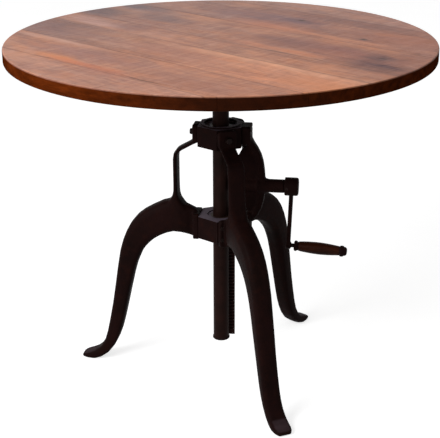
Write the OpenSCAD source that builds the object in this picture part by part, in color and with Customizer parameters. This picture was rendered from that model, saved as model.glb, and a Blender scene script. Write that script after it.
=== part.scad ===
// Round crank table: planked wooden top on a geared column, three cast legs.
// Millimetres, Z up, origin on the floor under the column, crank along +X.

/* [Top] */
// diameter of the wooden top
top_d = 900; // [600:10:1200]
// thickness of the planks
top_t = 27; // [20:1:45]
// height of the table surface as shown
table_h = 771; // [740:1:900]
// width of one plank
plank_w = 126; // [90:1:180]
// sideways place of the middle seam
seam_off = 38; // [0:1:60]
// direction of the planks, degrees from +X
plank_dir = -34; // [-90:1:90]
// gap between two planks
plank_gap = 0.3; // [0.2:0.1:2]
// rounding of the upper and lower rim
rim_r = 2.5; // [1:0.5:6]
// width of a batten under the top
batten_w = 60; // [40:1:90]
// thickness of a batten
batten_t = 20; // [14:1:30]
// length of a batten
batten_len = 600; // [480:10:640]
// distance of each batten from the middle
batten_at = 150; // [135:5:180]

/* [Column] */
// outer diameter of the lifting column
col_d = 35.5; // [28:0.5:50]
// wall of the column tube
col_wall = 4; // [3:0.5:6]
// height of the column's lower end as shown
col_z0 = 76; // [72:1:120]
// running clearance of the column in its guides
col_clear = 0.3; // [0.2:0.05:0.8]
// diameter of the flange under the top
flange_d = 190; // [140:5:260]
// thickness of the flange
flange_t = 8; // [5:1:14]
// diameter of the flange collar
collar_d = 58; // [50:1:80]
// height of the flange collar
collar_h = 26; // [16:1:40]
// diameter of the stop plug at the lower end
plug_d = 38.6; // [36:0.2:44]
// thickness of the stop plug's rim
plug_t = 4; // [3:0.5:10]

/* [Rack and pinion] */
// module of the teeth
gear_m = 2.5; // [2:0.25:3]
// number of pinion teeth
pin_teeth = 12; // [12:1:18]
// pressure angle
press_a = 25; // [20:1:28]
// play left between the flanks
flank_gap = 0.5; // [0.3:0.05:1]
// width of the rack bar along the pinion
rack_w = 18; // [12:1:24]
// outer side of the rack bar from the column axis
rack_x1 = 29; // [26:1:36]
// tooth tips of the rack from the column axis
rack_y0 = 8; // [6:1:12]
// depth of the rack bar over its teeth
rack_depth = 12; // [10:1:18]
// lower end of the rack above the column's lower end
rack_lo = 2; // [1:0.5:30]
// length of the rack
rack_len = 480; // [430:1:560]
// clearance round the rack in the guides
rack_clear = 0.7; // [0.4:0.1:2]

/* [Hubs] */
// height of the lower hub's lower face
lo_z0 = 331; // [325:1:340]
// height of the lower hub
lo_h = 51; // [46:1:60]
// height of the upper hub's lower face
up_z0 = 543.5; // [538:0.5:552]
// height of the upper hub
up_h = 45.5; // [42:0.5:56]
// distance of a leg face from the axis
hex_leg = 46; // [45:0.1:54]
// distance of the other faces from the axis
hex_side = 47; // [46:0.1:54]
// outer diameter of the rim on the upper hub
rim_od = 88; // [84:1:90]
// inner diameter of the rim
rim_bore = 70; // [62:1:76]
// height of the rim
rim_h = 3; // [2:1:8]
// depth of the recess inside the rim
recess_h = 5; // [4:0.5:14]
// depth of the recess in the lower hub's top
lo_recess = 2; // [1:0.5:8]
// outer diameter of the guide bushes
bush_d = 47; // [44:0.5:52]

/* [Legs] */
// thickness of the bolted plates
plate_t = 13.5; // [8:1:16]
// width of the lower plates
plate_w = 52; // [48:1:54]
// width of the upper lugs
lug_w = 40; // [34:1:44]
// sideways lean of the front leg, mm for each mm of height
front_lean = 0.031; // [0:0.001:0.04]
// widening or narrowing of the whole leg casting
leg_scale = 1; // [0.8:0.05:1.15]
// shank diameter of the upper leg bolts
ubolt_d = 8; // [6:1:10]
// head across flats of the upper leg bolts
ubolt_af = 13; // [10:1:16]
// head height of the upper leg bolts
ubolt_k = 8; // [4:0.5:8]
// shank diameter of the lower leg screws
lscrew_d = 5; // [4:0.5:6]
// sideways place of the lower leg screws
lscrew_x = 20; // [19:0.5:20.5]
// play round every bolt
bolt_play = 0.3; // [0.2:0.1:0.8]

/* [Crank bracket] */
// thickness of the bracket's bolted blocks
brk_t = 20; // [14:1:24]
// shank diameter of the bracket's upper bolts
bbolt_d = 6; // [5:0.5:8]
// thickness of the web
web_t = 12; // [8:1:18]
// outer diameter of the bearing tube
tube_d = 29.5; // [25:0.5:34]
// outer end of the bearing tube from the axis
tube_x1 = 140; // [130:1:160]
// height of the crank shaft
shaft_z = 454; // [446:1:466]

/* [Crank] */
// diameter of the crank shaft
shaft_d = 15; // [12:0.5:16]
// wall of the shaft bushes
sbush_wall = 2.5; // [1.5:0.5:3.5]
// length of a shaft bush
sbush_len = 22; // [14:1:30]
// running clearance of the shaft
shaft_clear = 0.2; // [0.15:0.05:0.4]
// diameter of the crank hub
hub_d = 40; // [32:1:44]
// length of the crank hub
hub_len = 30; // [20:1:34]
// throw of the crank
throw = 137.5; // [120:1:160]
// thickness of the crank arm
arm_t = 8.5; // [6:0.5:14]
// lean of the arm towards the column
arm_lean = 2; // [0:0.5:5]
// width of the arm at the hub
arm_w0 = 20; // [18:1:32]
// width of the arm at the grip
arm_w1 = 17; // [15:1:26]

/* [Grip] */
// bare length of the pin between arm and grip
pin_gap = 8; // [4:1:12]
// droop of the grip
grip_droop = 4.2; // [0:0.1:8]
// diameter of the grip pin
gpin_d = 9; // [6:0.5:10]
// largest diameter of the wooden grip
grip_d = 27; // [24:1:36]
// length of the wooden grip
grip_len = 89; // [70:1:110]
// length of the ferrule next to the arm
ferrule_len = 11; // [8:1:16]
// diameter of the ferrule and the end cap
ferrule_d = 24.5; // [21:1:28]
// length of the end cap
cap_len = 18; // [13:1:22]
// running clearance of the grip
grip_clear = 0.4; // [0.3:0.1:0.8]

/* [Hidden] */
$fn = 72;
eps = 0.01;
seat = 0.05;
top_r = top_d / 2;
top_z0 = table_h - top_t;
col_r = col_d / 2;
col_z1 = top_z0 - flange_t;
bore_r = col_r + col_clear;
pitch_r = gear_m * pin_teeth / 2;
gear_pitch = PI * gear_m;
rack_pitch_y = rack_y0 + gear_m;
shaft_y = rack_pitch_y - pitch_r;
rack_z0 = col_z0 + rack_lo;
rack_x0 = rack_x1 - rack_w;
pinion_gap = 1.6;
pinion_x0 = col_r + pinion_gap;
pinion_x1 = rack_x1 + 0.5;
pinion_hub = 5;
end_gap = 0.6;
tube_x0 = pinion_x1 + pinion_hub + end_gap;
shaft_r = shaft_d / 2;
sbush_r = shaft_r + shaft_clear + sbush_wall;
hub_x0 = tube_x1 + end_gap;
hub_x1 = hub_x0 + hub_len;
arm_xm = (hub_x0 + hub_x1) / 2;
up_z1 = up_z0 + up_h;
lo_z1 = lo_z0 + lo_h;
leg_az = [177.5, 58.3, -60.5];
lean_z = 340;
leg_lean = [0, 0, front_lean];
room = 2 * top_d;
screw_bite = 17;
iron = [0.13, 0.10, 0.10];
steel = [0.55, 0.55, 0.56];
brass_c = [0.62, 0.48, 0.25];
wood_c = [0.60, 0.45, 0.38];
fer_u0 = arm_t / 2 + pin_gap;
grip_u0 = fer_u0 + ferrule_len;
grip_u1 = grip_u0 + grip_len;
nut_sink = 3;
nut_u0 = grip_u1 + nut_sink;
nut_h = 5;
nut_d = 15;
pin_u0 = -arm_t / 2 - 0.5;
pin_len = nut_u0 + nut_h + 1 - pin_u0;

// Corner points of a hub: a leg face for each leg, a plain face between two of them.
face_az = [0, leg_az[1], (leg_az[1] + leg_az[0]) / 2, leg_az[0],
    (leg_az[0] + leg_az[2] + 360) / 2, leg_az[2] + 360, 360];
function hub_face(i) = (i % 2 == 1) ? hex_leg : hex_side;
function meet(a, da, b, db) = let (s = sin(b - a))
    [(da * sin(b) - db * sin(a)) / s, (db * cos(a) - da * cos(b)) / s];
hub_pts = [for (i = [0:5]) meet(face_az[i], hub_face(i), face_az[i + 1], hub_face(i + 1))];

// Stations of the leg from the lower plate to the toe.
// Each is upper edge r and z, lower edge r and z, width.
leg_st = [
    [52, 389.5, 52, 324, 34],
    [60, 393.5, 60, 326, 29],
    [67, 397, 66, 328.5, 29],
    [76, 400, 75, 331.5, 36],
    [90, 405, 88, 335, 44],
    [110, 411, 106, 336, 46],
    [131, 405, 122, 331.5, 47.5],
    [153, 393.5, 138, 324, 48],
    [172, 382.5, 152, 314.8, 47.5],
    [189, 369, 163, 304.5, 47],
    [204, 350.5, 172, 294, 46.5],
    [214.5, 331, 180.5, 281, 46],
    [223.5, 309, 187.5, 265, 45],
    [231, 283, 194, 248.5, 44.5],
    [238, 244, 201, 223, 43.5],
    [245.2, 198, 209.4, 187, 43],
    [253.2, 150, 218.2, 147, 41.5],
    [261.8, 107, 226.5, 111, 41],
    [269, 74, 234.5, 81, 41],
    [276, 51, 243, 58, 41],
    [286.5, 33, 253.5, 37, 41],
    [299, 22.5, 268, 18, 41.5],
    [311.5, 17, 285.5, 5, 42],
    [321, 13.5, 300, 0, 42],
    [328, 10.5, 316, 0, 38],
    [333.5, 7, 329.5, 1, 28]
];
// Stations of the arm and strut above the leg: centre r, z, direction, depth, width.
strut_st = [
    [50, 553, -24, 12, 37],
    [58, 548, -30, 9, 36],
    [66, 543, -31, 8, 35],
    [76, 537, -31, 8, 35],
    [85.5, 531.8, -33, 8, 36],
    [93, 526.6, -44, 8.8, 37],
    [98, 519, -66, 9.8, 38],
    [99.5, 508, -84, 10, 39],
    [99.5, 490, -90, 10, 39],
    [99.5, 450, -90, 10, 39],
    [99.5, 434, -90, 10.6, 39.5],
    [100.2, 423, -90, 14, 40],
    [101, 414, -90, 22, 41],
    [101.5, 404, -90, 38, 42],
    [100, 392, -90, 56, 43]
];
// Stations of the bracket's rib: centre r, z, direction, depth, width.
rib_st = [
    [54, 583, -75, 15, 38],
    [58, 572, -70, 15, 34],
    [61.5, 560, -62, 14.5, 30],
    [68, 548, -55, 14, 27],
    [76, 536, -58, 14, 25],
    [82.5, 523, -70, 14, 25],
    [87, 508, -80, 14, 25],
    [89.5, 488, -87, 15, 25],
    [90, 466, -90, 17, 25],
    [89.5, 440, -92, 17, 25],
    [88, 421, -97, 15, 25],
    [84, 404, -108, 14, 24],
    [77, 390, -118, 14, 24],
    [67, 379, -128, 15, 27],
    [57, 371, -132, 16, 34]
];

// One rounded ring of points in its own plane: half depth a, half width b.
ring_n = 18;
function ring(a, b, e) = [for (k = [0:ring_n - 1]) let (t = 360 * (k + 0.5) / ring_n,
    cx = cos(t), sx = sin(t), f = pow(cos(180 / ring_n), e))
    [a / f * sign(cx) * pow(abs(cx), e), b * sign(sx) * pow(abs(sx), e)]];

// Skin over a list of rings with the same number of points.
module skin(rings) {
    n = len(rings[0]);
    m = len(rings);
    pts = [for (r = rings) each r];
    side = [for (i = [0:m - 2]) for (k = [0:n - 1])
        each [[i * n + k, i * n + (k + 1) % n, (i + 1) * n + (k + 1) % n],
              [i * n + k, (i + 1) * n + (k + 1) % n, (i + 1) * n + k]]];
    c0 = [[for (k = [0:n - 1]) n - 1 - k]];
    c1 = [[for (k = [0:n - 1]) (m - 1) * n + k]];
    polyhedron(points = pts, faces = concat(c0, side, c1), convexity = 6);
}

// Sweep in the radial plane: st has centre r, z, heading, depth, width.
function swept(st, e) = [for (s = st) let (q = ring(s[3] / 2, s[4] / 2, e),
    nx = -sin(s[2]), nz = cos(s[2]))
    [for (p = q) [s[0] + nx * p[0], p[1], s[1] + nz * p[0]]]];

// Rings moved sideways with height, so that a leg leans but its bolted faces stay flat.
function leaned(rings, lean) = [for (r = rings)
    [for (p = r) [p[0], p[1] + lean * (lean_z - p[2]), p[2]]]];
function lug_y(lean) = lean * (lean_z - up_bolt_z);

// Leg body from pairs of edge points.
function legrings(st, e) = [for (s = st) let (cr = (s[0] + s[2]) / 2, cz = (s[1] + s[3]) / 2,
    dx = (s[0] - s[2]) / 2, dz = (s[1] - s[3]) / 2, q = ring(1, s[4] * leg_scale / 2, e))
    [for (p = q) [cr + dx * p[0], p[1], cz + dz * p[0]]]];

// Plate with rounded corners standing on a face at distance d, centred on z.
module plate(d, w, z0, h, t, r) {
    translate([d, 0, z0])
        rotate([90, 0, 90])
            linear_extrude(t)
                union() {
                    translate([-w / 2 + r, 0])
                        square([w - 2 * r, h]);
                    translate([-w / 2, r])
                        square([w, h - 2 * r]);
                    for (x = [-w / 2 + r, w / 2 - r])
                        for (y = [r, h - r])
                            translate([x, y])
                                circle(r);
                }
}

plate_r = 5;
lug_r = 9;
up_plate_z = up_z0 + 5;
up_plate_h = up_h - 5;
up_bolt_z = up_z1 - 20;
lo_plate_drop = 5;
lo_plate_rise = 4;
lo_plate_z = lo_z0 - lo_plate_drop;
lo_plate_h = lo_h + lo_plate_drop + lo_plate_rise;
lo_screw_z = [lo_z0 + 12, lo_z1 - 12];
csk = lscrew_d + 4.6;
csk_h = 3.2;

module leg(lean = 0) {
    difference() {
        union() {
            intersection() {
                skin(leaned(legrings(leg_st, 0.55), lean));
                translate([hex_leg + 0.2, -room / 2, 0])
                    cube(room);
            }
            intersection() {
                skin(leaned(swept(strut_st, 0.6), lean));
                translate([hex_leg + 0.2, -room / 2, 0])
                    cube(room);
            }
            translate([0, lug_y(lean), 0])
                plate(hex_leg, lug_w, up_plate_z, up_plate_h, plate_t, lug_r);
            plate(hex_leg, plate_w, lo_plate_z, lo_plate_h, plate_t, plate_r);
        }
        translate([hex_leg - 1, lug_y(lean), up_bolt_z])
            rotate([0, 90, 0])
                cylinder(d = ubolt_d + bolt_play, h = 40);
        for (y = [-lscrew_x, lscrew_x])
            for (z = lo_screw_z)
                translate([hex_leg, y, z])
                    rotate([0, 90, 0]) {
                        translate([0, 0, -1])
                            cylinder(d = lscrew_d + bolt_play, h = plate_t + 2);
                        translate([0, 0, plate_t - csk_h])
                            cylinder(d1 = lscrew_d + bolt_play, d2 = csk + 1, h = csk_h + eps);
                        translate([0, 0, plate_t])
                            cylinder(d = csk + 1, h = 3);
                    }
    }
}

module leg_left() {
    color(iron)
        rotate([0, 0, leg_az[0]])
            leg();
}

module leg_back() {
    color(iron)
        rotate([0, 0, leg_az[1]])
            leg();
}

module leg_front() {
    color(iron)
        rotate([0, 0, leg_az[2]])
            leg(front_lean);
}

// Room for the rack bar in the hubs and bushes.
module rack_slot(z0, h) {
    translate([0, rack_y0 - rack_clear, z0])
        cube([rack_x1 + rack_clear, rack_depth + 2 * rack_clear, h]);
}

// Tapped holes in a hub face: depth is the screw's length in the hub.
bolt_in = 13;
screw_in = 10;
module face_hole(az, d, y, z, dia, deep) {
    rotate([0, 0, az])
        translate([d - deep - 1, y, z])
            rotate([0, 90, 0])
                cylinder(d = dia + bolt_play, h = deep + 2);
}

brk_bolt_z = up_z1 - 15;
brk_bolt_y = 14.5;
brk_screw_z = [lo_z0 + 14, lo_z1 - 14];
brk_screw_y = 11;
// Width of the recess round the lower bush.
lo_ring = 5.5;
// Oil hole in the lower hub's top: its place, width and depth.
oil_at = [-29, -5, 5];
oil_h = 9;

module lower_hub() {
    color(iron)
        difference() {
            translate([0, 0, lo_z0])
                linear_extrude(lo_h)
                    polygon(hub_pts);
            translate([0, 0, lo_z0 - 1])
                cylinder(d = bush_d + 2 * seat, h = lo_h + 2);
            translate([0, 0, lo_z1 - lo_recess])
                cylinder(d = bush_d + 2 * lo_ring, h = lo_recess + 1);
            rack_slot(lo_z0 - 1, lo_h + 2);
            for (a = leg_az)
                for (y = [-lscrew_x, lscrew_x])
                    for (z = lo_screw_z)
                        face_hole(a, hex_leg, y, z, lscrew_d, screw_in);
            for (y = [-brk_screw_y, brk_screw_y])
                for (z = brk_screw_z)
                    face_hole(0, hex_side, y, z, lscrew_d, screw_in);
            translate([oil_at[0], oil_at[1], lo_z1 - oil_h])
                cylinder(d = oil_at[2], h = oil_h + 1);
        }
}

module upper_hub() {
    color(iron)
        difference() {
            union() {
                translate([0, 0, up_z0])
                    linear_extrude(up_h)
                        polygon(hub_pts);
                translate([0, 0, up_z1 - 1])
                    rotate_extrude()
                        polygon([[rim_bore / 2, 0], [rim_od / 2, 0], [rim_od / 2, rim_h - 0.5],
                            [rim_od / 2 - 1.5, rim_h + 1], [rim_bore / 2 + 1, rim_h + 1],
                            [rim_bore / 2, rim_h]]);
            }
            translate([0, 0, up_z0 - 1])
                cylinder(d = bush_d + 2 * seat, h = up_h + 2);
            translate([0, 0, up_z1 + rim_h - recess_h])
                cylinder(d = rim_bore, h = recess_h + 1);
            rack_slot(up_z0 - 1, up_h + rim_h + 2);
            for (i = [0:2])
                face_hole(leg_az[i], hex_leg, lug_y(leg_lean[i]), up_bolt_z, ubolt_d, bolt_in);
            for (y = [-brk_bolt_y, brk_bolt_y])
                face_hole(0, hex_side, y, brk_bolt_z, bbolt_d, bolt_in);
        }
}

module bush(z0, h) {
    difference() {
        translate([0, 0, z0])
            cylinder(d = bush_d, h = h);
        translate([0, 0, z0 - 1])
            cylinder(r = bore_r, h = h + 2);
        rack_slot(z0 - 1, h + 2);
    }
}

module lower_bush() {
    color(brass_c)
        bush(lo_z0, lo_h - lo_recess);
}

module upper_bush() {
    color(brass_c)
        bush(up_z0, up_z1 + rim_h - recess_h - up_z0);
}

// Hex bolt along +X: underside of the head at x = 0, shank reaching back.
module hex_bolt(d, af, k, l) {
    translate([-l, 0, 0])
        rotate([0, 90, 0])
            cylinder(d = d, h = l + eps);
    intersection() {
        rotate([0, 90, 0])
            cylinder(d = af / cos(30), h = k, $fn = 6);
        rotate([0, 90, 0])
            cylinder(d1 = af + 2.2, d2 = af - 1.4, h = k);
    }
}

// Flat headed screw along +X, its head sunk a little under x = 0.
fhead_h = 2.8;
fhead_sink = 0.1;
slot_w = 1.2;
slot_h = 1;
module flat_screw(d, head, l) {
    translate([-l, 0, 0])
        rotate([0, 90, 0])
            cylinder(d = d, h = l - fhead_h + 0.4);
    translate([-fhead_h - fhead_sink, 0, 0])
        rotate([0, 90, 0])
            difference() {
                cylinder(d1 = d, d2 = head, h = fhead_h);
                translate([-head, -slot_w / 2, fhead_h - slot_h])
                    cube([2 * head, slot_w, 2 * slot_h]);
            }
}

module upper_bolts() {
    color(steel)
        for (i = [0:2])
            rotate([0, 0, leg_az[i]])
                translate([hex_leg + plate_t, lug_y(leg_lean[i]), up_bolt_z])
                    hex_bolt(ubolt_d, ubolt_af, ubolt_k, plate_t + bolt_in);
}

module lower_screws() {
    color(steel)
        for (a = leg_az)
            rotate([0, 0, a])
                for (y = [-lscrew_x, lscrew_x])
                    for (z = lo_screw_z)
                        translate([hex_leg + plate_t, y, z])
                            flat_screw(lscrew_d, csk, plate_t + screw_in);
}

brk_plate_w = 46;
brk_lo_z = lo_z0 + 3;
brk_lo_h = lo_h + 7;
bhead_af = 10;
bhead_k = 4.5;
// Bolt heads and screws lie in round pockets of this play and depth.
pocket_play = 5;
pocket_h = 30;
// Web: its inner edge runs from the lower block past the tube to the upper block.
web_in = 2;
web_step = [8, 22, 34];
web_foot_z = 372;
web_foot_h = 20;
web_head_z = 549;
web_head_h = 17;
web_top_z = 517;
web_neck = [47, 536];
// Its outer edge lies inside the rib: x and z, upwards.
web_out = [[74, 388], [84, 412], [88, 440], [88, 490], [80, 533], [66, 554]];
// Cone that carries the tube out of the web: start, length, widening.
boss_x = 80;
boss_l = 26;
boss_w = 12;
module bracket() {
    color(iron)
        difference() {
            union() {
                plate(hex_side, brk_plate_w, up_plate_z, up_plate_h, brk_t, plate_r);
                plate(hex_side, brk_plate_w, brk_lo_z, brk_lo_h, brk_t, plate_r);
                translate([0, shaft_y, 0])
                    intersection() {
                        skin(swept(rib_st, 0.6));
                        translate([hex_side + 0.2, -room / 2, 0])
                            cube(room);
                    }
                translate([0, shaft_y + web_t / 2, 0])
                    rotate([90, 0, 0])
                        linear_extrude(web_t)
                            polygon(concat(
                                [[tube_x0 + web_in, web_top_z],
                                    [tube_x0 + web_in, shaft_z - web_step[1]],
                                    [tube_x0 + web_step[0], shaft_z - web_step[2]],
                                    [hex_side + brk_t - 5, web_foot_z + web_foot_h],
                                    [hex_side + brk_t - 5, web_foot_z]],
                                web_out,
                                [[hex_side + brk_t - 6, web_head_z + web_head_h],
                                    [hex_side + brk_t - 6, web_head_z],
                                    web_neck]));
                translate([tube_x0, shaft_y, shaft_z])
                    rotate([0, 90, 0])
                        cylinder(d = tube_d, h = tube_x1 - tube_x0);
                translate([boss_x, shaft_y, shaft_z])
                    rotate([0, 90, 0])
                        cylinder(d1 = tube_d + boss_w, d2 = tube_d, h = boss_l);
            }
            translate([tube_x0 - 1, shaft_y, shaft_z])
                rotate([0, 90, 0]) {
                    cylinder(r = sbush_r + seat, h = sbush_len + 1);
                    cylinder(r = shaft_r + 1, h = tube_x1 - tube_x0 + 2);
                    translate([0, 0, tube_x1 - tube_x0 + 1 - sbush_len])
                        cylinder(r = sbush_r + seat, h = sbush_len + 1);
                }
            for (y = [-brk_bolt_y, brk_bolt_y])
                translate([hex_side - 1, y, brk_bolt_z])
                    rotate([0, 90, 0]) {
                        cylinder(d = bbolt_d + bolt_play, h = pocket_h);
                        translate([0, 0, brk_t + 1 - bhead_k])
                            cylinder(d = bhead_af + pocket_play, h = pocket_h);
                    }
            for (y = [-brk_screw_y, brk_screw_y])
                for (z = brk_screw_z)
                    translate([hex_side - 1, y, z])
                        rotate([0, 90, 0]) {
                            cylinder(d = lscrew_d + bolt_play, h = brk_t + 8);
                            translate([0, 0, brk_t + 1 - csk_h])
                                cylinder(d1 = lscrew_d + bolt_play, d2 = csk + 1, h = csk_h + eps);
                            translate([0, 0, brk_t + 1])
                                cylinder(d = csk + 1, h = 12);
                        }
        }
}

module bracket_bolts() {
    color(steel)
        for (y = [-brk_bolt_y, brk_bolt_y])
            translate([hex_side + brk_t - bhead_k, y, brk_bolt_z])
                hex_bolt(bbolt_d, bhead_af, bhead_k, brk_t - bhead_k + bolt_in);
}

module bracket_screws() {
    color(steel)
        for (y = [-brk_screw_y, brk_screw_y])
            for (z = brk_screw_z)
                translate([hex_side + brk_t, y, z])
                    flat_screw(lscrew_d, csk, brk_t + screw_in);
}

module shaft_bush(x0) {
    translate([x0, shaft_y, shaft_z])
        rotate([0, 90, 0])
            difference() {
                cylinder(r = sbush_r, h = sbush_len);
                translate([0, 0, -1])
                    cylinder(r = shaft_r + shaft_clear, h = sbush_len + 2);
            }
}

module shaft_bush_in() {
    color(brass_c)
        shaft_bush(tube_x0);
}

module shaft_bush_out() {
    color(brass_c)
        shaft_bush(tube_x1 - sbush_len);
}

module column() {
    color(steel)
        translate([0, 0, col_z0 + plug_t])
            difference() {
                cylinder(r = col_r, h = col_z1 - col_z0 - plug_t);
                translate([0, 0, -1])
                    cylinder(r = col_r - col_wall, h = col_z1 - col_z0 + 2);
            }
}

// The plug's rim is notched where the rack bar stands.
module stop_plug() {
    color(iron)
        difference() {
            translate([0, 0, col_z0])
                rotate_extrude()
                    polygon([[0, 0], [plug_d / 2 - 1, 0], [plug_d / 2, 1],
                        [plug_d / 2, plug_t], [col_r - col_wall - 0.1, plug_t],
                        [col_r - col_wall - 0.1, plug_t + 14], [0, plug_t + 14]]);
            difference() {
                rack_slot(col_z0 - 1, plug_t + 2);
                translate([0, 0, col_z0 - 2])
                    cylinder(r = col_r, h = plug_t + 4);
            }
        }
}

// One rack tooth in its own plane: x along the rack, y up to the tip.
module rack_tooth() {
    hw = gear_pitch / 4 - flank_gap / 4;
    ta = tan(press_a);
    dd = 1.25 * gear_m;
    polygon([[-hw - dd * ta, -dd - 0.5], [-hw - dd * ta, -dd], [-hw + gear_m * ta, gear_m],
        [hw - gear_m * ta, gear_m], [hw + dd * ta, -dd], [hw + dd * ta, -dd - 0.5]]);
}

rack_n = floor((rack_len - 2 * gear_pitch) / gear_pitch);
// The tooth that stands level with the shaft as shown.
rack_k0 = ceil((rack_z0 + gear_pitch - shaft_z) / gear_pitch);
module rack_bar() {
    root_y = rack_pitch_y + 1.25 * gear_m;
    color(steel)
        difference() {
            union() {
                translate([rack_x0, root_y, rack_z0])
                    cube([rack_w, rack_y0 + rack_depth - root_y, rack_len]);
                translate([rack_x0, rack_pitch_y, shaft_z])
                    rotate([0, 90, 0])
                        linear_extrude(rack_w)
                            for (k = [rack_k0:rack_k0 + rack_n - 1])
                                translate([-k * gear_pitch, 0])
                                    scale([1, -1])
                                        rack_tooth();
            }
            translate([0, 0, rack_z0 - 1])
                cylinder(r = col_r + seat, h = rack_len + 2);
        }
}

flange_bolt_r = 72;
wscrew_d = 5;
wscrew_head = 9.5;
wscrew_k = 3.2;
batten_dir = plank_dir + 90;
module flange() {
    color(iron)
        translate([0, 0, col_z1])
            difference() {
                union() {
                    cylinder(d = flange_d, h = flange_t);
                    translate([0, 0, -collar_h])
                        cylinder(d1 = collar_d - 4, d2 = collar_d, h = collar_h + eps);
                }
                translate([0, 0, -collar_h - 1])
                    cylinder(r = col_r + seat, h = collar_h + 1);
                for (a = [0:60:300])
                    rotate([0, 0, a + plank_dir])
                        translate([flange_bolt_r, 0, -1])
                            cylinder(d = wscrew_d + bolt_play, h = flange_t + 2);
            }
}

// Round headed wood screw standing on its head, head below z = 0.
module wood_screw(d, head, k, l) {
    translate([0, 0, -k])
        rotate_extrude()
            polygon([[0, 0], [head / 2 - 1.6, 0], [head / 2 - 0.5, 0.7], [head / 2, 1.8],
                [head / 2, k], [d / 2, k], [d / 2, k + l - 3], [0, k + l]]);
}

module flange_screws() {
    color(steel)
        for (a = [0:60:300])
            rotate([0, 0, a + plank_dir])
                translate([flange_bolt_r, 0, col_z1])
                    wood_screw(wscrew_d, wscrew_head, wscrew_k, flange_t + screw_bite);
}

// Batten screw places: two screws for each inner plank.
batten_sx = [for (s = [-2.5:1:1.5]) seam_off + (s + 0.5) * plank_w - plank_w / 2];
// Cut corners of a batten.
batten_c = 6;
module batten(s) {
    rotate([0, 0, plank_dir])
        translate([s * batten_at, 0, top_z0 - batten_t])
            difference() {
                translate([-batten_w / 2, -batten_len / 2, 0])
                    linear_extrude(batten_t)
                        polygon([[0, batten_c], [batten_c, 0], [batten_w - batten_c, 0],
                            [batten_w, batten_c], [batten_w, batten_len - batten_c],
                            [batten_w - batten_c, batten_len], [batten_c, batten_len],
                            [0, batten_len - batten_c]]);
                for (y = batten_sx)
                    translate([0, y, -1])
                        cylinder(d = wscrew_d + bolt_play, h = batten_t + 2);
            }
}

module batten_a() {
    color(wood_c)
        batten(-1);
}

module batten_b() {
    color(wood_c)
        batten(1);
}

module batten_screws() {
    color(steel)
        rotate([0, 0, plank_dir])
            for (s = [-1, 1])
                for (y = batten_sx)
                    translate([s * batten_at, y, top_z0 - batten_t])
                        wood_screw(wscrew_d, wscrew_head, wscrew_k, batten_t + screw_bite);
}

// Seams across the planks, from one rim to the other.
seams = [for (k = [-3:2]) seam_off + k * plank_w];
function seam_lo(i) = i == 0 ? -top_r - 5 : seams[i - 1] + plank_gap / 2;
function seam_hi(i) = i == 6 ? top_r + 5 : seams[i] - plank_gap / 2;
module plank(i) {
    color(wood_c)
        difference() {
            intersection() {
                translate([0, 0, top_z0])
                    rotate_extrude($fn = 180)
                        polygon([[0, 0], [top_r - rim_r, 0], [top_r - 0.3 * rim_r, 0.3 * rim_r],
                            [top_r, rim_r], [top_r, top_t - rim_r],
                            [top_r - 0.3 * rim_r, top_t - 0.3 * rim_r],
                            [top_r - rim_r, top_t], [0, top_t]]);
                rotate([0, 0, plank_dir])
                    translate([-top_r - 10, seam_lo(i), top_z0 - 1])
                        cube([top_d + 20, seam_hi(i) - seam_lo(i), top_t + 2]);
            }
            for (a = [0:60:300])
                rotate([0, 0, a + plank_dir])
                    translate([flange_bolt_r, 0, top_z0 - 1])
                        cylinder(d = wscrew_d + bolt_play, h = screw_bite + 2);
            rotate([0, 0, plank_dir])
                for (s = [-1, 1])
                    for (y = batten_sx)
                        translate([s * batten_at, y, top_z0 - 1])
                            cylinder(d = wscrew_d + bolt_play, h = screw_bite + 2);
        }
}

module plank_1() {
    plank(0);
}

module plank_2() {
    plank(1);
}

module plank_3() {
    plank(2);
}

module plank_4() {
    plank(3);
}

module plank_5() {
    plank(4);
}

module plank_6() {
    plank(5);
}

module plank_7() {
    plank(6);
}

module along_x(x0, z) {
    translate([x0, shaft_y, z])
        rotate([0, 90, 0])
            children();
}

pin_hole_x = pinion_x1 + pinion_hub / 2;
hub_pin_x = hub_x0 + 5;
hub_pin_d = 5.1;
pinion_pin_d = 3.1;
pin_play = 0.1;
module crank_shaft() {
    color(steel)
        difference() {
            along_x(pinion_x0, shaft_z)
                rotate_extrude()
                    polygon([[0, 0], [shaft_r - 0.8, 0], [shaft_r, 0.8],
                        [shaft_r, hub_x1 - pinion_x0 - 0.8], [shaft_r - 0.8, hub_x1 - pinion_x0],
                        [0, hub_x1 - pinion_x0]]);
            translate([pin_hole_x, shaft_y, shaft_z - shaft_d - 5])
                cylinder(d = pinion_pin_d + pin_play, h = 2 * shaft_d + 10);
            translate([hub_pin_x, shaft_y - hub_d / 2 - 10, shaft_z])
                rotate([-90, 0, 0])
                    cylinder(d = hub_pin_d + pin_play, h = hub_d + 20);
        }
}

// Involute flank of the pinion, points from the base circle out to the tip.
base_r = pitch_r * cos(press_a);
tip_r = pitch_r + gear_m;
root_r = pitch_r - 1.25 * gear_m;
function inv_deg(r) = let (c = acos(base_r / r)) tan(c) * 180 / PI - c;
half_deg = 90 / pin_teeth - flank_gap / 4 / pitch_r * 180 / PI;
function flank_deg(r) = half_deg + inv_deg(pitch_r) - inv_deg(r);
flank_rs = [for (i = [0:6]) let (lo = max(base_r, root_r) + 0.01)
    lo + (tip_r - lo) * i / 6];
function pol(r, a) = [r * cos(a), r * sin(a)];
function tooth_pts(a) = concat(
    [pol(root_r, a - flank_deg(flank_rs[0]) - 0.5)],
    [for (r = flank_rs) pol(r, a - flank_deg(r))],
    [for (i = [6:-1:0]) pol(flank_rs[i], a + flank_deg(flank_rs[i]))],
    [pol(root_r, a + flank_deg(flank_rs[0]) + 0.5)]);

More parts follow.
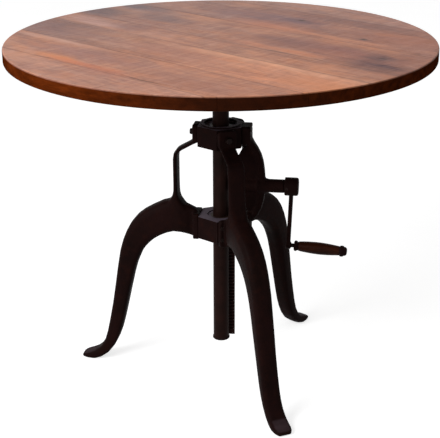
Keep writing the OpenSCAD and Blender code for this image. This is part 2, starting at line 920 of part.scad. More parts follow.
module pinion() {
    color(steel)
        difference() {
            union() {
                along_x(pinion_x0, shaft_z)
                    linear_extrude(pinion_x1 - pinion_x0)
                        polygon([for (k = [0:pin_teeth - 1])
                            each tooth_pts(90 + 360 * (k + 0.5) / pin_teeth)]);
                along_x(pinion_x1 - 1, shaft_z)
                    cylinder(r = root_r - 0.8, h = pinion_hub + 1);
            }
            along_x(pinion_x0 - 1, shaft_z)
                cylinder(r = shaft_r + seat, h = 40);
            translate([pin_hole_x, shaft_y, shaft_z - shaft_d - 5])
                cylinder(d = pinion_pin_d + pin_play, h = 2 * shaft_d + 10);
        }
}

module pinion_pin() {
    color(steel)
        translate([pin_hole_x, shaft_y, shaft_z - root_r + 0.9])
            cylinder(d = pinion_pin_d, h = 2 * root_r - 1.8);
}

// Frame of the arm, and of the grip's axis at a distance u from the arm.
module arm_frame() {
    translate([arm_xm, shaft_y, shaft_z])
        rotate([0, arm_lean, 0])
            children();
}
module along_grip(u) {
    translate([arm_xm - throw * sin(arm_lean), shaft_y, shaft_z - throw * cos(arm_lean)])
        rotate([0, 90 + grip_droop, 0])
            translate([0, 0, u])
                children();
}

module crank_arm() {
    color(iron)
        difference() {
            union() {
                along_x(hub_x0, shaft_z)
                    rotate_extrude()
                        polygon([[0, 0], [hub_d / 2 - 2, 0], [hub_d / 2 - 0.6, 0.6],
                            [hub_d / 2, 2], [hub_d / 2, hub_len - 4],
                            [hub_d / 2 - 1.2, hub_len - 1.2], [hub_d / 2 - 4, hub_len],
                            [0, hub_len]]);
                arm_frame()
                    translate([-arm_t / 2, 0, 0])
                        rotate([90, 0, 90])
                            linear_extrude(arm_t)
                                polygon([[-arm_w0 / 2 - 4, 0], [-arm_w0 / 2 - 3, -hub_d / 2 + 2],
                                    [-arm_w0 / 2, -hub_d / 2 - 7], [-arm_w1 / 2 + 1, -throw],
                                    [arm_w1 / 2 - 1, -throw], [arm_w0 / 2, -hub_d / 2 - 7],
                                    [arm_w0 / 2 + 3, -hub_d / 2 + 2], [arm_w0 / 2 + 4, 0]]);
                along_grip(pin_u0 - 0.5)
                    rotate_extrude()
                        polygon([[0, 0], [arm_w1 / 2 - 1, 0], [arm_w1 / 2, 1],
                            [arm_w1 / 2, arm_t + 1], [arm_w1 / 2 - 2.5, arm_t + 3],
                            [0, arm_t + 3]]);
            }
            along_x(hub_x0 - 1, shaft_z)
                cylinder(r = shaft_r + seat, h = hub_len + 2);
            along_grip(pin_u0 - 3)
                cylinder(r = gpin_d / 2 + seat, h = arm_t + 8);
            translate([hub_pin_x, shaft_y - hub_d / 2 - 10, shaft_z])
                rotate([-90, 0, 0])
                    cylinder(d = hub_pin_d + pin_play, h = hub_d + 20);
        }
}

module hub_pin() {
    color(steel)
        translate([hub_pin_x, shaft_y - hub_d / 2 + 0.6, shaft_z])
            rotate([-90, 0, 0])
                cylinder(d = hub_pin_d, h = hub_d - 1.2);
}

module grip_pin() {
    color(steel)
        along_grip(pin_u0)
            rotate_extrude()
                polygon([[0, 0], [gpin_d / 2 - 0.6, 0], [gpin_d / 2, 0.6],
                    [gpin_d / 2, pin_len - 1], [gpin_d / 2 - 0.8, pin_len], [0, pin_len]]);
}

module pin_nut() {
    color(steel)
        along_grip(nut_u0)
            difference() {
                cylinder(d = nut_d, h = nut_h, $fn = 6);
                translate([0, 0, -1])
                    cylinder(d = gpin_d + 2 * seat, h = nut_h + 2);
            }
}

module ferrule() {
    c = ferrule_d / 2 - 0.5;
    color(iron)
        along_grip(fer_u0)
            difference() {
                rotate_extrude()
                    polygon([[0, 0], [c - 5, 0], [c - 2, 0.8], [c - 0.5, 2], [c, 3.5],
                        [c, 5.5], [c - 0.6, 7], [c - 2, 8], [c - 2.2, ferrule_len],
                        [0, ferrule_len]]);
                translate([0, 0, -1])
                    cylinder(d = gpin_d + 2 * grip_clear, h = ferrule_len + 2);
            }
}

module grip_wood() {
    g = grip_d / 2;
    l = grip_len;
    color(wood_c)
        along_grip(grip_u0)
            difference() {
                rotate_extrude()
                    polygon([[0, 0], [g - 3.2, 0], [g - 2.7, 0.03 * l], [g - 1.7, 0.12 * l],
                        [g - 0.7, 0.26 * l], [g, 0.42 * l], [g, 0.56 * l], [g - 0.7, 0.72 * l],
                        [g - 1.8, 0.86 * l], [g - 2.8, 0.96 * l], [g - 3.2, l], [0, l]]);
                translate([0, 0, -1])
                    cylinder(d = gpin_d + 2 * grip_clear, h = l + 2);
            }
}

// The cap is hollow round the nut: play of the hollow, and thickness left at its end.
cap_play = 1.4;
cap_end = 4.5;
module end_cap() {
    c = ferrule_d / 2;
    color(iron)
        along_grip(grip_u1)
            difference() {
                rotate_extrude()
                    polygon([[0, 0], [c - 2.4, 0], [c - 2, 1.4], [c - 0.4, 3], [c, 4.5],
                        [c, 8], [c - 0.5, 9.5], [c - 2, 11], [c - 2.6, cap_len - 4],
                        [c - 4.2, cap_len - 1.6], [c - 6.5, cap_len - 0.4], [0, cap_len]]);
                translate([0, 0, -1])
                    cylinder(d = nut_d + cap_play, h = cap_len - cap_end + 1);
            }
}

leg_left();
leg_back();
leg_front();
lower_hub();
upper_hub();
lower_bush();
upper_bush();
upper_bolts();
lower_screws();
bracket();
bracket_bolts();
bracket_screws();
shaft_bush_in();
shaft_bush_out();
column();
stop_plug();
rack_bar();
flange();
flange_screws();
batten_a();
batten_b();
batten_screws();
plank_1();
plank_2();
plank_3();
plank_4();
plank_5();
plank_6();
plank_7();
crank_shaft();
pinion();
pinion_pin();
crank_arm();
hub_pin();
grip_pin();
pin_nut();
ferrule();
grip_wood();
end_cap();
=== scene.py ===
import bpy, math
from mathutils import Matrix, Vector

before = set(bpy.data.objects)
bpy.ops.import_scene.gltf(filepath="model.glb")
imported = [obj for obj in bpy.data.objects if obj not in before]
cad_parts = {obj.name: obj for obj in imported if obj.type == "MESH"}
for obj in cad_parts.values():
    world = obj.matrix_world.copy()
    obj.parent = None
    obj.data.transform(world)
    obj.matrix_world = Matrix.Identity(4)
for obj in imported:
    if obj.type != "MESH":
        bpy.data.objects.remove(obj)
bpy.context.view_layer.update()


def srgb(r, g, b):
    """A colour written as 0 to 255, as the linear colour that a shader takes."""
    def lin(c):
        c /= 255
        return c / 12.92 if c < 0.04045 else ((c + 0.055) / 1.055) ** 2.4
    return (lin(r), lin(g), lin(b), 1)


# Camera, found from the rim of the top, the feet and the column: the picture's width and the
# focal length in pixels, angles in degrees, distances in metres, the sensor in millimetres.
TOP_R = 0.45
PHOTO_W = 440
FOCAL = 1122.12
PITCH, YAW, ROLL, TURN = 21.457, -0.057, -0.177, 7.684
CAM_BACK, CAM_UP = 5.1505 * TOP_R, 2.8441 * TOP_R
SENSOR = 36
CLIP_END = 50

# Studio: strength of the sky on the object, glow of the floor in the camera's eye, and the lamp.
SKY = 0.50
FLOOR_GLOW = 0.70
FLOOR_HALF = 12
FLOOR_DARK, FLOOR_PALE = (0.50, 0.50, 0.50, 1), (0.53, 0.53, 0.53, 1)
WHITE = (1, 1, 1, 1)
KEY_WATTS = 150
KEY_SIZE = 2.4
KEY_PLACE, KEY_AIM = (-2.1, -2.5, 2.3), (0, 0, 0.55)

# Planks: direction, how many, width, the seam where plank START begins, counted from 0, and a
# distance from the centre that is past the rim. The noise on each plank starts at its own place.
PLANK_DIR = math.radians(-34)
PLANK_COUNT = 7
PLANK_W = 0.126
START, START_V = 4, 0.038
PAST_RIM = 0.5
NOISE_START, NOISE_STEP = 3.1, 7.3
SAW_LEAN = 0.12

# Edges sharper than this stay sharp. The castings get a skin that rounds their edges instead.
SHARP_DEG = 32
CAST = ("leg_left", "leg_back", "leg_front", "bracket")
SKIN_VOXEL = 0.002
SKIN_SMOOTH, SKIN_PASSES = 0.5, 4

# Tones of the boards, of the saw's marks and of the grain on them.
BOARD_DARK, BOARD_MID, BOARD_PALE = srgb(150, 101, 87), srgb(188, 139, 121), srgb(216, 166, 142)
STROKE_DARK, STROKE_PALE = srgb(138, 90, 72), srgb(214, 160, 132)
GRAIN_TONE, PORE_TONE, SAW_TONE = srgb(122, 78, 63), srgb(84, 52, 42), srgb(110, 76, 66)
WARM_TONE, PATCH_TONE = srgb(208, 142, 104), srgb(196, 124, 82)
STAIN_TONE, CRACK_TONE = srgb(84, 54, 46), srgb(52, 32, 28)
HALO_TONE, KNOT_TONE = srgb(112, 76, 68), srgb(58, 38, 36)
RIM_DARK, RIM_PALE = srgb(50, 17, 3), srgb(98, 40, 10)
# The last rim tone is painted shade, laid over the rim where the lamp lights it less.
RIM_GRAIN, RIM_PAINTED_SHADE = srgb(38, 13, 4), srgb(31, 14, 8)
RAW_DARK, RAW_PALE, RAW_GRAIN = srgb(70, 42, 28), srgb(108, 72, 50), srgb(54, 34, 24)

# Bands of tone across the top: far edge in metres across the planks, tint at the left end and
# tint at the right end.
# The tints are partly the tone of old boards and partly painted sheen, cooler towards the left
# ends and warmer towards the right.
BANDS = [
    (-0.349, (0.98, 1.02, 1.07), (1.09, 1.07, 1.04)),
    (-0.215, (0.99, 1.00, 1.00), (1.06, 0.98, 0.88)),
    (-0.083, (0.72, 0.81, 0.91), (1.29, 1.16, 0.98)),
    (-0.005, (0.98, 1.03, 1.08), (1.02, 0.95, 0.86)),
    (0.158, (0.90, 0.98, 1.08), (0.99, 0.93, 0.87)),
    (0.347, (0.84, 0.94, 1.08), (0.85, 0.80, 0.80)),
    (0.500, (0.98, 1.12, 1.25), (0.98, 1.04, 1.15)),
]
# The bands lean by BAND_LEAN against the planks. Their tint turns from BAND_LEFT to BAND_RIGHT
# along the planks. A plank looks BAND_REACH past its seams for bands. BAND_EDGE is half the
# width of the step from one band to the next, and SEAM_STAIN that of the stain on it.
BAND_LEAN = 0.022
BAND_LEFT, BAND_RIGHT = -0.36, 0.22
BAND_REACH = 0.02
BAND_EDGE = 0.001
SEAM_STAIN = 0.0018

# Marks on the top: place and size in metres along and across the planks, tone and strength.
# They are drawn in a space squeezed along the planks, so that their edges tear along the grain.
MARK_SQUEEZE = 0.5
MARKS = [
    ((-0.150, -0.320), (0.09, 0.022), srgb(208, 128, 76), 0.45),
    ((-0.105, -0.334), (0.08, 0.020), srgb(208, 116, 64), 0.42),
    ((-0.010, -0.338), (0.12, 0.022), srgb(176, 92, 62), 0.40),
    ((0.000, 0.184), (0.14, 0.046), srgb(196, 124, 92), 0.50),
    ((0.150, 0.168), (0.22, 0.020), srgb(208, 138, 100), 0.42),
    ((0.230, -0.098), (0.36, 0.022), srgb(224, 166, 132), 0.42),
    ((0.390, -0.160), (0.12, 0.060), srgb(204, 126, 80), 0.40),
    ((0.080, 0.014), (0.09, 0.024), srgb(198, 124, 86), 0.35),
    ((0.200, 0.016), (0.09, 0.022), srgb(200, 122, 80), 0.40),
    ((-0.290, -0.220), (0.16, 0.018), srgb(208, 166, 150), 0.40),
    ((-0.350, -0.040), (0.14, 0.044), srgb(192, 152, 142), 0.40),
    ((-0.415, 0.050), (0.12, 0.070), srgb(92, 78, 82), 0.75),
    ((-0.245, 0.085), (0.10, 0.050), srgb(98, 84, 88), 0.60),
    ((-0.400, 0.150), (0.13, 0.040), srgb(98, 88, 94), 0.65),
    ((-0.320, 0.130), (0.12, 0.050), srgb(124, 100, 98), 0.40),
    ((-0.230, -0.030), (0.07, 0.050), srgb(116, 86, 86), 0.50),
    ((-0.360, -0.140), (0.22, 0.080), srgb(112, 82, 84), 0.45),
    ((-0.080, 0.250), (0.22, 0.070), srgb(108, 80, 88), 0.45),
    ((0.100, 0.325), (0.28, 0.036), srgb(104, 74, 76), 0.45),
    ((0.300, 0.240), (0.18, 0.080), srgb(156, 92, 70), 0.35),
    ((0.200, 0.085), (0.18, 0.056), srgb(112, 68, 68), 0.50),
    ((0.080, 0.070), (0.10, 0.050), srgb(120, 80, 74), 0.45),
    ((0.300, 0.060), (0.14, 0.060), srgb(114, 62, 64), 0.42),
    ((0.385, 0.016), (0.13, 0.050), srgb(58, 32, 46), 0.78),
    ((0.400, 0.095), (0.09, 0.060), srgb(96, 56, 58), 0.45),
    ((0.345, 0.076), (0.05, 0.040), srgb(56, 36, 44), 0.65),
    ((0.010, 0.262), (0.06, 0.034), srgb(78, 62, 78), 0.40),
    ((-0.100, -0.270), (0.26, 0.050), srgb(130, 90, 88), 0.42),
    ((0.200, -0.300), (0.18, 0.050), srgb(136, 88, 76), 0.35),
    ((0.020, -0.150), (0.20, 0.055), srgb(166, 112, 94), 0.35),
]
# Knots by their place, with the size of the halo and of the knot, and cracks by place and size.
KNOTS = [(0.007, 0.268), (0.225, 0.196), (0.351, 0.078)]
HALO_SIZE, KNOT_SIZE = (0.034, 0.014), (0.012, 0.008)
CRACKS = [((0.120, -0.345), (0.075, 0.0022)), ((0.150, -0.008), (0.080, 0.0016)),
          ((-0.150, -0.342), (0.040, 0.0016))]


class Graph:
    """Short words for building the nodes of one tree. Rotations are in radians."""

    def __init__(self, tree):
        self.tree = tree

    def put(self, socket, value):
        if isinstance(value, bpy.types.NodeSocket):
            self.tree.links.new(value, socket)
        else:
            socket.default_value = value

    def node(self, kind, values=None, **fields):
        n = self.tree.nodes.new(kind)
        for key, value in fields.items():
            setattr(n, key, value)
        for key, value in (values or {}).items():
            self.put(n.inputs[key], value)
        return n

    def math(self, op, a, b=0.0, c=0.0):
        return self.node("ShaderNodeMath", {0: a, 1: b, 2: c}, operation=op).outputs[0]

    def vector(self, op, a, b, c=None):
        values = {0: a, 1: b} if c is None else {0: a, 1: b, 2: c}
        return self.node("ShaderNodeVectorMath", values, operation=op)

    def moved(self, source, scale=(1, 1, 1), shift=(0, 0, 0)):
        return self.vector("MULTIPLY_ADD", source, scale, shift).outputs[0]

    def turned(self, source, angle):
        values = {"Vector": source, "Angle": angle}
        return self.node("ShaderNodeVectorRotate", values, rotation_type="Z_AXIS").outputs[0]

    def bent(self, source, scale, amount):
        """The vector shifted a little by noise, so that lines wander."""
        n = self.node("ShaderNodeTexNoise", {"Vector": source, "Scale": scale, "Detail": 3})
        off = self.vector("SUBTRACT", n.outputs["Color"], (0.5, 0.5, 0.5)).outputs[0]
        return self.vector("MULTIPLY_ADD", off, (amount,) * 3, source).outputs[0]

    def noise(self, source, scale, detail, rough, low, high):
        """Noise from 0 to 1, where low and high are the values that become 0 and 1."""
        n = self.node("ShaderNodeTexNoise", {"Vector": source, "Scale": scale, "Detail": detail,
                                             "Roughness": rough})
        return self.span(n.outputs[0], low, high)

    def grain(self, source, stretch, detail, rough, low, high, shift=(0, 0, 0)):
        """Noise with its own number of waves to the metre along each axis."""
        return self.noise(self.moved(source, stretch, shift), 1.0, detail, rough, low, high)

    def span(self, value, low, high, out_low=0.0, out_high=1.0):
        values = {"Value": value, "From Min": low, "From Max": high, "To Min": out_low,
                  "To Max": out_high}
        return self.node("ShaderNodeMapRange", values).outputs[0]

    def largest(self, first, *others):
        for other in others:
            first = self.math("MAXIMUM", first, other)
        return first

    def white_rays(self):
        """1 for rays from the camera, in reflections and through glass, and 0 for the rest."""
        path = self.node("ShaderNodeLightPath").outputs
        return self.largest(path["Is Camera Ray"], path["Is Glossy Ray"],
                            path["Is Transmission Ray"])


class Material(Graph):
    """One node material, from the place of each point to its finished surface."""

    BEVEL_SAMPLES = 6
    WORN_TURN = 0.86

    def __init__(self, name):
        self.mat = bpy.data.materials.new(name)
        self.mat.use_nodes = True
        super().__init__(self.mat.node_tree)
        self.tree.nodes.clear()
        self.place = self.node("ShaderNodeTexCoord").outputs["Object"]

    def mix(self, share, a, b, blend="MIX"):
        n = self.node("ShaderNodeMix", data_type="RGBA", blend_type=blend)
        self.put(n.inputs[0], share)
        self.put(n.inputs[6], a)
        self.put(n.inputs[7], b)
        return n.outputs[2]

    def toward(self, color, tone, share, *shares):
        """The colour moved towards the tone by the product of the shares."""
        for factor in shares:
            share = self.math("MULTIPLY", share, factor)
        return self.mix(share, color, tone)

    def split(self, source):
        return self.node("ShaderNodeSeparateXYZ", {0: source}).outputs

    def blob(self, source, middle, size):
        """1 in the middle of an upright elliptic cylinder, fading to 0 at its wall."""
        scale = (1 / size[0], 1 / size[1], 0)
        shift = (-middle[0] / size[0], -middle[1] / size[1], 0)
        away = self.node("ShaderNodeVectorMath", {0: self.moved(source, scale, shift)},
                         operation="LENGTH")
        return self.span(away.outputs["Value"], 1.0, 0.3)

    def bump(self, height, strength, distance, normal=None):
        values = {"Height": height, "Strength": strength, "Distance": distance}
        if normal is not None:
            values["Normal"] = normal
        return self.node("ShaderNodeBump", values).outputs[0]

    def rounded(self, radius):
        values = {"Radius": radius}
        return self.node("ShaderNodeBevel", values, samples=self.BEVEL_SAMPLES).outputs[0]

    def normal(self):
        return self.node("ShaderNodeNewGeometry").outputs["Normal"]

    def edge_wear(self, radius):
        """Near 1 on outer and inner edges, from how far a rounded normal turns."""
        dot = self.vector("DOT_PRODUCT", self.rounded(radius), self.normal())
        return self.span(dot.outputs["Value"], 1.0, self.WORN_TURN)

    def upness(self):
        """1 where the surface faces up, 0 where it is upright and -1 where it faces down."""
        return self.split(self.normal())[2]

    def finish(self, color, rough, spec, normal=None, glow=None):
        values = {"Base Color": color, "Roughness": rough, "Specular IOR Level": spec}
        if normal is not None:
            values["Normal"] = normal
        if glow is not None:
            values["Emission Color"] = WHITE
            values["Emission Strength"] = glow
        shader = self.node("ShaderNodeBsdfPrincipled", values)
        out = self.node("ShaderNodeOutputMaterial")
        self.tree.links.new(shader.outputs[0], out.inputs[0])
        return self.mat


def camera():
    pitch, yaw, roll, turn = (math.radians(v) for v in (PITCH, YAW, ROLL, TURN))
    right = Vector((math.cos(yaw), -math.sin(yaw), 0))
    ahead = Vector((math.sin(yaw), math.cos(yaw), 0))
    z = Vector((0, 0, 1))
    view = ahead * math.cos(pitch) - z * math.sin(pitch)
    up = ahead * math.sin(pitch) + z * math.cos(pitch)
    side = right * math.cos(roll) + up * math.sin(roll)
    top = -right * math.sin(roll) + up * math.cos(roll)
    spin = Matrix.Rotation(turn, 3, "Z")
    place = Matrix((spin @ side, spin @ top, spin @ -view)).transposed().to_4x4()
    place.translation = spin @ Vector((0, -CAM_BACK, CAM_UP))
    data = bpy.data.cameras.new("camera")
    data.sensor_fit = "HORIZONTAL"
    data.sensor_width = SENSOR
    data.lens = FOCAL / PHOTO_W * SENSOR
    data.clip_end = CLIP_END
    ob = bpy.data.objects.new("camera", data)
    bpy.context.scene.collection.objects.link(ob)
    ob.matrix_world = place
    bpy.context.scene.camera = ob


def studio():
    """White to the camera and in reflections, a soft grey sky for the rest, and one lamp."""
    world = bpy.data.worlds.new("studio")
    bpy.context.scene.world = world
    world.use_nodes = True
    g = Graph(world.node_tree)
    back = g.tree.nodes["Background"]
    g.put(back.inputs["Color"], WHITE)
    g.put(back.inputs["Strength"], g.span(g.white_rays(), 0.0, 1.0, SKY, 1.0))
    data = bpy.data.lights.new("key", "AREA")
    data.shape = "DISK"
    data.size = KEY_SIZE
    data.energy = KEY_WATTS
    lamp = bpy.data.objects.new("key", data)
    lamp.location = KEY_PLACE
    aim = Vector(KEY_AIM) - Vector(KEY_PLACE)
    lamp.rotation_euler = aim.to_track_quat("-Z", "Y").to_euler()
    bpy.context.scene.collection.objects.link(lamp)
    bpy.context.scene.view_settings.view_transform = "Standard"


def dress(ob, mat):
    ob.data.materials.clear()
    ob.data.materials.append(mat)


def floor():
    g = Material("floor_white")
    color = g.mix(g.noise(g.place, 3, 2, 0.5, 0.2, 0.8), FLOOR_DARK, FLOOR_PALE)
    glow = g.math("MULTIPLY", g.white_rays(), FLOOR_GLOW)
    half = FLOOR_HALF
    mesh = bpy.data.meshes.new("floor")
    mesh.from_pydata([(-half, -half, 0), (half, -half, 0), (half, half, 0), (-half, half, 0)], [],
                     [(0, 1, 2, 3)])
    ob = bpy.data.objects.new("floor", mesh)
    bpy.context.scene.collection.objects.link(ob)
    dress(ob, g.finish(color, 0.9, 0.0, glow=glow))


def plank_span(index):
    """Where a plank, numbered from 0, lies across the top. The outer two run past the rim."""
    low = START_V + (index - START) * PLANK_W
    high = low + PLANK_W
    if index == 0:
        low = -PAST_RIM
    if index == PLANK_COUNT - 1:
        high = PAST_RIM
    return low, high


def banded(g, color, along, low_v, high_v):
    """The colour tinted by the bands that cross the plank, and the stain at their edges."""
    across = g.split(along)
    lean = g.math("MULTIPLY_ADD", across[0], BAND_LEAN, across[1])
    side = g.span(across[0], BAND_LEFT, BAND_RIGHT)
    tint, lines = None, []
    near = -PAST_RIM
    for far, left, right in BANDS:
        if near < high_v + BAND_REACH and far >= low_v - BAND_REACH:
            # Partly painted sheen: each band's tint turns from cooler at its left end to warmer
            # at its right end.
            here = g.mix(side, (*left, 1), (*right, 1))
            if tint is not None:
                here = g.mix(g.span(lean, near - BAND_EDGE, near + BAND_EDGE), tint, here)
            tint = here
            if far < high_v + BAND_REACH:
                gap = g.math("ABSOLUTE", g.math("SUBTRACT", lean, far))
                lines.append(g.span(gap, SEAM_STAIN, SEAM_STAIN * 0.4, 0.0, 0.5))
        near = far
    return g.mix(1.0, color, tint, "MULTIPLY"), g.largest(*lines)


def marked(g, color, along, streaks, low_v, high_v):
    """The listed marks that touch the plank, torn along its grain."""
    squeezed = g.moved(along, (MARK_SQUEEZE, 1, 1))
    ragged = g.bent(g.bent(squeezed, 9, 0.035), 42, 0.020)
    for (u, v), (length, width), tone, strength in MARKS:
        if v + width > low_v and v - width < high_v:
            mark = g.blob(ragged, (u * MARK_SQUEEZE, v), (length * MARK_SQUEEZE, width))
            color = g.toward(color, tone, streaks, strength, mark)
    return color


def knotted(g, color, along, pores, low_v, high_v):
    """Knots and cracks on the plank, and how hollow its surface is."""
    hollow = pores
    curly = g.bent(along, 60, 0.010)
    for u, v in KNOTS:
        if low_v < v < high_v:
            color = g.toward(color, HALO_TONE, g.blob(curly, (u, v), HALO_SIZE), 0.5)
            knot = g.blob(curly, (u, v), KNOT_SIZE)
            color = g.toward(color, KNOT_TONE, knot, 0.85)
            hollow = g.largest(hollow, knot)
    thin = g.bent(along, 30, 0.012)
    for middle, size in CRACKS:
        if low_v < middle[1] < high_v:
            crack = g.blob(thin, middle, size)
            color = g.toward(color, CRACK_TONE, crack, 0.9)
            hollow = g.largest(hollow, g.math("MULTIPLY", crack, 2.0))
    return color, hollow


def plank_material(index):
    """Old sawn boards, oiled: grain along the board, saw marks across it, a dark stained rim
    with painted shade that is deepest near the middle of its width, and a raw underside."""
    g = Material("plank_%d_wood" % (index + 1))
    low_v, high_v = plank_span(index)
    own = (NOISE_STEP * index + NOISE_START, 0, 0)
    along = g.turned(g.place, -PLANK_DIR)
    wander = g.bent(g.moved(along, shift=own), 2.4, 0.06)
    broad = g.grain(wander, (5, 20, 20), 4, 0.6, 0.32, 0.68)
    bands = g.grain(wander, (5, 70, 70), 5, 0.6, 0.28, 0.72)
    fine = g.grain(wander, (22, 420, 420), 4, 0.6, 0.3, 0.7)
    pores = g.grain(wander, (45, 900, 900), 2, 0.5, 0.56, 0.66)
    saw_place = g.bent(g.moved(g.turned(g.place, -PLANK_DIR + SAW_LEAN), shift=own), 6, 0.010)
    saw = g.grain(saw_place, (240, 12, 12), 3, 0.6, 0.34, 0.66)
    saw_area = g.grain(wander, (7, 22, 22), 3, 0.6, 0.42, 0.60, (5, 1, 0))
    strokes = g.grain(saw_place, (74, 9, 9), 4, 0.65, 0.32, 0.68, (3, 0, 0))
    warm = g.grain(wander, (6, 20, 20), 4, 0.6, 0.50, 0.70, (2, 7, 0))
    patch = g.grain(wander, (16, 34, 34), 3, 0.6, 0.46, 0.70, (9, 3, 0))

    color = g.mix(bands, BOARD_DARK, BOARD_PALE)
    color = g.mix(0.62, color, g.mix(broad, BOARD_DARK, BOARD_MID))
    color = g.toward(color, STROKE_DARK, strokes, 0.34)
    color = g.toward(color, STROKE_PALE, g.span(strokes, 0.45, 0.0, 0.0, 0.30))
    color = g.toward(color, GRAIN_TONE, fine, 0.28)
    color = g.toward(color, PORE_TONE, pores, 0.40)
    color = g.toward(color, SAW_TONE, saw, saw_area, 0.45)
    color = g.toward(color, WARM_TONE, warm, 0.40)
    color = g.toward(color, PATCH_TONE, patch, 0.30)

    color, stain = banded(g, color, along, low_v, high_v)
    streaks = g.span(g.math("ADD", bands, broad), 0.5, 1.5, 0.65, 1.25)
    color = marked(g, color, along, streaks, low_v, high_v)
    color, hollow = knotted(g, color, along, pores, low_v, high_v)
    color = g.toward(color, STAIN_TONE, stain)

    upness = g.upness()
    up = g.span(upness, 0.15, 0.85)
    rim = g.toward(g.mix(bands, RIM_DARK, RIM_PALE), RIM_GRAIN, fine, 0.4)
    x = g.split(g.place)[0]
    # Painted shade on the rim: none at the left end, where the lamp falls on it, most across the
    # middle, and less again at the right.
    painted_rim_shade = g.math("MINIMUM", g.span(x, -0.19, 0.05, 0.0, 0.85),
                    g.span(x, 0.12, 0.32, 0.85, 0.40))
    color = g.mix(up, g.toward(rim, RIM_PAINTED_SHADE, painted_rim_shade), color)
    raw = g.toward(g.mix(bands, RAW_DARK, RAW_PALE), RAW_GRAIN, fine, 0.4)
    color = g.toward(color, raw, g.span(upness, -0.4, -0.9))

    rough = g.span(g.math("ADD", fine, saw), 0.0, 2.0, 0.46, 0.62)
    ridges = g.math("MULTIPLY", g.math("ADD", fine, g.math("MULTIPLY", saw, saw_area)), 0.5)
    normal = g.bump(g.math("SUBTRACT", ridges, hollow), 0.5, 0.0006, g.rounded(0.0012))
    return g.finish(color, rough, g.span(up, 0, 1, 0.0, 0.16), normal)


def iron_material(name, machined_and_sheen):
    """Cast iron under a thin brown-black wash, rubbed pale on its edges, with a painted
    highlight, a pale lilac sheen, on the up-facing tops of the feet. Where the second argument is
    1, the faces that point up are bare metal from machining, with the same kind of painted sheen."""
    g = Material(name)
    cloud = g.noise(g.place, 11, 5, 0.6, 0.32, 0.70)
    spots = g.noise(g.place, 60, 4, 0.6, 0.50, 0.72)
    sand = g.noise(g.place, 520, 3, 0.6, 0.25, 0.75)
    lumps = g.noise(g.place, 95, 3, 0.5, 0.25, 0.75)
    rubbed = g.noise(g.place, 45, 4, 0.6, 0.4, 0.65)
    color = g.mix(cloud, srgb(15, 7, 6), srgb(26, 12, 11))
    color = g.toward(color, srgb(32, 14, 10), spots, 0.5)
    color = g.toward(color, srgb(60, 46, 46), g.edge_wear(0.0025), rubbed, 0.5)
    upness = g.upness()
    # Painted highlight: a pale lilac sheen in the colour of faces that point up near the floor,
    # the tops of the feet.
    low = g.span(g.split(g.place)[2], 0.10, 0.05)
    color = g.toward(color, srgb(70, 58, 62), g.span(upness, 0.80, 0.97),
                     g.span(cloud, 0, 1, 0.30, 0.60), low)
    # Painted highlight too: where the second argument is 1 (the hubs), faces that point up are
    # bare metal from machining, with a pale lilac sheen painted into their colour.
    color = g.toward(color, srgb(92, 82, 92), g.span(upness, 0.86, 0.97),
                     g.span(cloud, 0, 1, 0.6, 1.0), machined_and_sheen)
    rough = g.span(g.math("ADD", cloud, sand), 0.0, 2.0, 0.42, 0.66)
    relief = g.math("ADD", g.math("MULTIPLY", sand, 0.35), lumps)
    return g.finish(color, rough, 0.015, g.bump(relief, 0.45, 0.0005, g.rounded(0.0022)))


def steel_material(name, low, high, spec, scratch):
    """Turned or rolled steel, darkened and oily, with faint tool lines."""
    g = Material(name)
    cloud = g.noise(g.place, 26, 5, 0.6, 0.3, 0.7)
    lines = g.grain(g.place, scratch, 3, 0.6, 0.3, 0.7)
    color = g.mix(cloud, low, high)
    color = g.toward(color, srgb(62, 50, 47), g.edge_wear(0.0012), 0.5)
    rough = g.span(g.math("ADD", cloud, lines), 0.0, 2.0, 0.34, 0.58)
    return g.finish(color, rough, spec, g.bump(lines, 0.25, 0.0002, g.rounded(0.0008)))


def bronze_material():
    """Turned bearing bronze, browned by oil."""
    g = Material("bearing_bronze")
    cloud = g.noise(g.place, 40, 5, 0.6, 0.3, 0.7)
    lines = g.grain(g.place, (9, 9, 900), 3, 0.6, 0.3, 0.7)
    color = g.mix(cloud, srgb(26, 17, 14), srgb(46, 32, 26))
    return g.finish(color, g.span(lines, 0, 1, 0.30, 0.5), 0.04, g.bump(lines, 0.3, 0.0002))


def grip_material():
    """Turned hardwood handle, dark red-brown, worn smooth."""
    g = Material("grip_hardwood")
    along = g.bent(g.place, 9, 0.02)
    bands = g.grain(along, (7, 130, 130), 5, 0.6, 0.3, 0.7)
    fine = g.grain(along, (30, 900, 900), 3, 0.6, 0.35, 0.7)
    rings = g.grain(g.place, (520, 4, 4), 2, 0.5, 0.35, 0.65)
    color = g.mix(bands, srgb(16, 6, 3), srgb(54, 23, 10))
    color = g.toward(color, srgb(24, 9, 6), fine, 0.5)
    rough = g.span(g.math("ADD", fine, rings), 0, 2, 0.30, 0.5)
    height = g.math("ADD", g.math("MULTIPLY", rings, 0.4), fine)
    return g.finish(color, rough, 0.04, g.bump(height, 0.3, 0.0003))


def batten_material():
    """Raw sawn wood under the top, with its grain across the planks."""
    g = Material("batten_wood")
    wander = g.bent(g.turned(g.place, -PLANK_DIR + math.pi / 2), 2.5, 0.05)
    bands = g.grain(wander, (3, 60, 60), 5, 0.55, 0.3, 0.7)
    fine = g.grain(wander, (16, 500, 500), 4, 0.6, 0.3, 0.7)
    color = g.mix(bands, srgb(74, 46, 31), srgb(114, 76, 54))
    color = g.toward(color, srgb(56, 36, 26), fine, 0.4)
    return g.finish(color, g.span(fine, 0, 1, 0.55, 0.75), 0.05,
                    g.bump(fine, 0.5, 0.0005, g.rounded(0.001)))


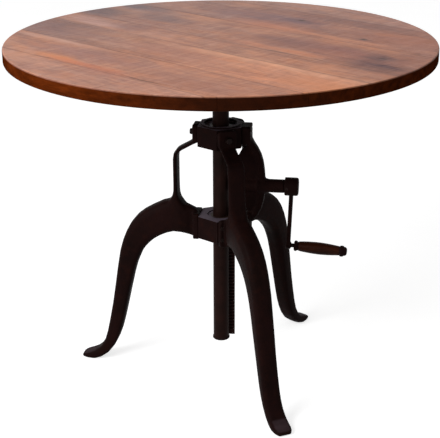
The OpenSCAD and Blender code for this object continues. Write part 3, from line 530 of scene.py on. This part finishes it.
def node_materials():
    """The material of each CAD node that isn't plain cast iron."""
    column = steel_material("column_steel", srgb(19, 10, 8), srgb(33, 17, 14), 0.03, (6, 6, 700))
    rack = steel_material("rack_steel", srgb(28, 13, 12), srgb(44, 22, 20), 0.03, (40, 40, 500))
    bolt = steel_material("fastener_steel", srgb(14, 7, 6), srgb(28, 16, 14), 0.05,
                          (300, 300, 60))
    shared = [
        # The hubs' iron is bare metal on its up-facing faces, with a painted lilac sheen there.
        (iron_material("machined_iron_and_sheen", 1.0), ("upper_hub", "lower_hub")),
        (column, ("column", "crank_shaft")),
        (rack, ("rack_bar", "pinion")),
        (bolt, ("upper_bolts", "lower_screws", "bracket_bolts", "bracket_screws",
                "flange_screws", "batten_screws", "pin_nut", "hub_pin", "grip_pin",
                "pinion_pin")),
        (bronze_material(), ("lower_bush", "upper_bush", "shaft_bush_in", "shaft_bush_out")),
        (grip_material(), ("grip_wood",)),
        (batten_material(), ("batten_a", "batten_b")),
    ]
    mats = {name: mat for mat, names in shared for name in names}
    for index in range(PLANK_COUNT):
        mats["plank_%d" % (index + 1)] = plank_material(index)
    return mats


def smooth_shading():
    """A modifier's tree that shades faces smooth and keeps edges over a set angle sharp."""
    tree = bpy.data.node_groups.new("smooth_by_angle", "GeometryNodeTree")
    tree.is_modifier = True
    tree.interface.new_socket("Geometry", in_out="INPUT", socket_type="NodeSocketGeometry")
    tree.interface.new_socket("Angle", in_out="INPUT", socket_type="NodeSocketFloat")
    tree.interface.new_socket("Geometry", in_out="OUTPUT", socket_type="NodeSocketGeometry")
    g = Graph(tree)
    start = g.node("NodeGroupInput")
    faces = g.node("GeometryNodeSetShadeSmooth", {"Geometry": start.outputs["Geometry"]})
    angle = g.node("GeometryNodeInputMeshEdgeAngle").outputs["Unsigned Angle"]
    over = g.node("FunctionNodeCompare", {0: angle, 1: start.outputs["Angle"]},
                  operation="GREATER_THAN")
    edges = g.node("GeometryNodeSetShadeSmooth", {"Geometry": faces.outputs[0],
                                                  "Selection": over.outputs[0],
                                                  "Shade Smooth": False}, domain="EDGE")
    g.node("NodeGroupOutput", {0: edges.outputs[0]})
    return tree


def shade(ob, tree):
    mod = ob.modifiers.new("smooth", "NODES")
    mod.node_group = tree
    mod[tree.interface.items_tree["Angle"].identifier] = math.radians(SHARP_DEG)


def soften(ob):
    """Casting skin: every edge rounded by about a millimetre."""
    remesh = ob.modifiers.new("skin", "REMESH")
    remesh.mode = "VOXEL"
    remesh.voxel_size = SKIN_VOXEL
    remesh.use_smooth_shade = True
    smooth = ob.modifiers.new("round", "SMOOTH")
    smooth.factor = SKIN_SMOOTH
    smooth.iterations = SKIN_PASSES


def dress_nodes():
    iron = iron_material("cast_iron", 0.0)
    mats = node_materials()
    tree = smooth_shading()
    for name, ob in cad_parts.items():
        dress(ob, mats.get(name, iron))
        if name in CAST:
            soften(ob)
        else:
            shade(ob, tree)


camera()
studio()
floor()
dress_nodes()
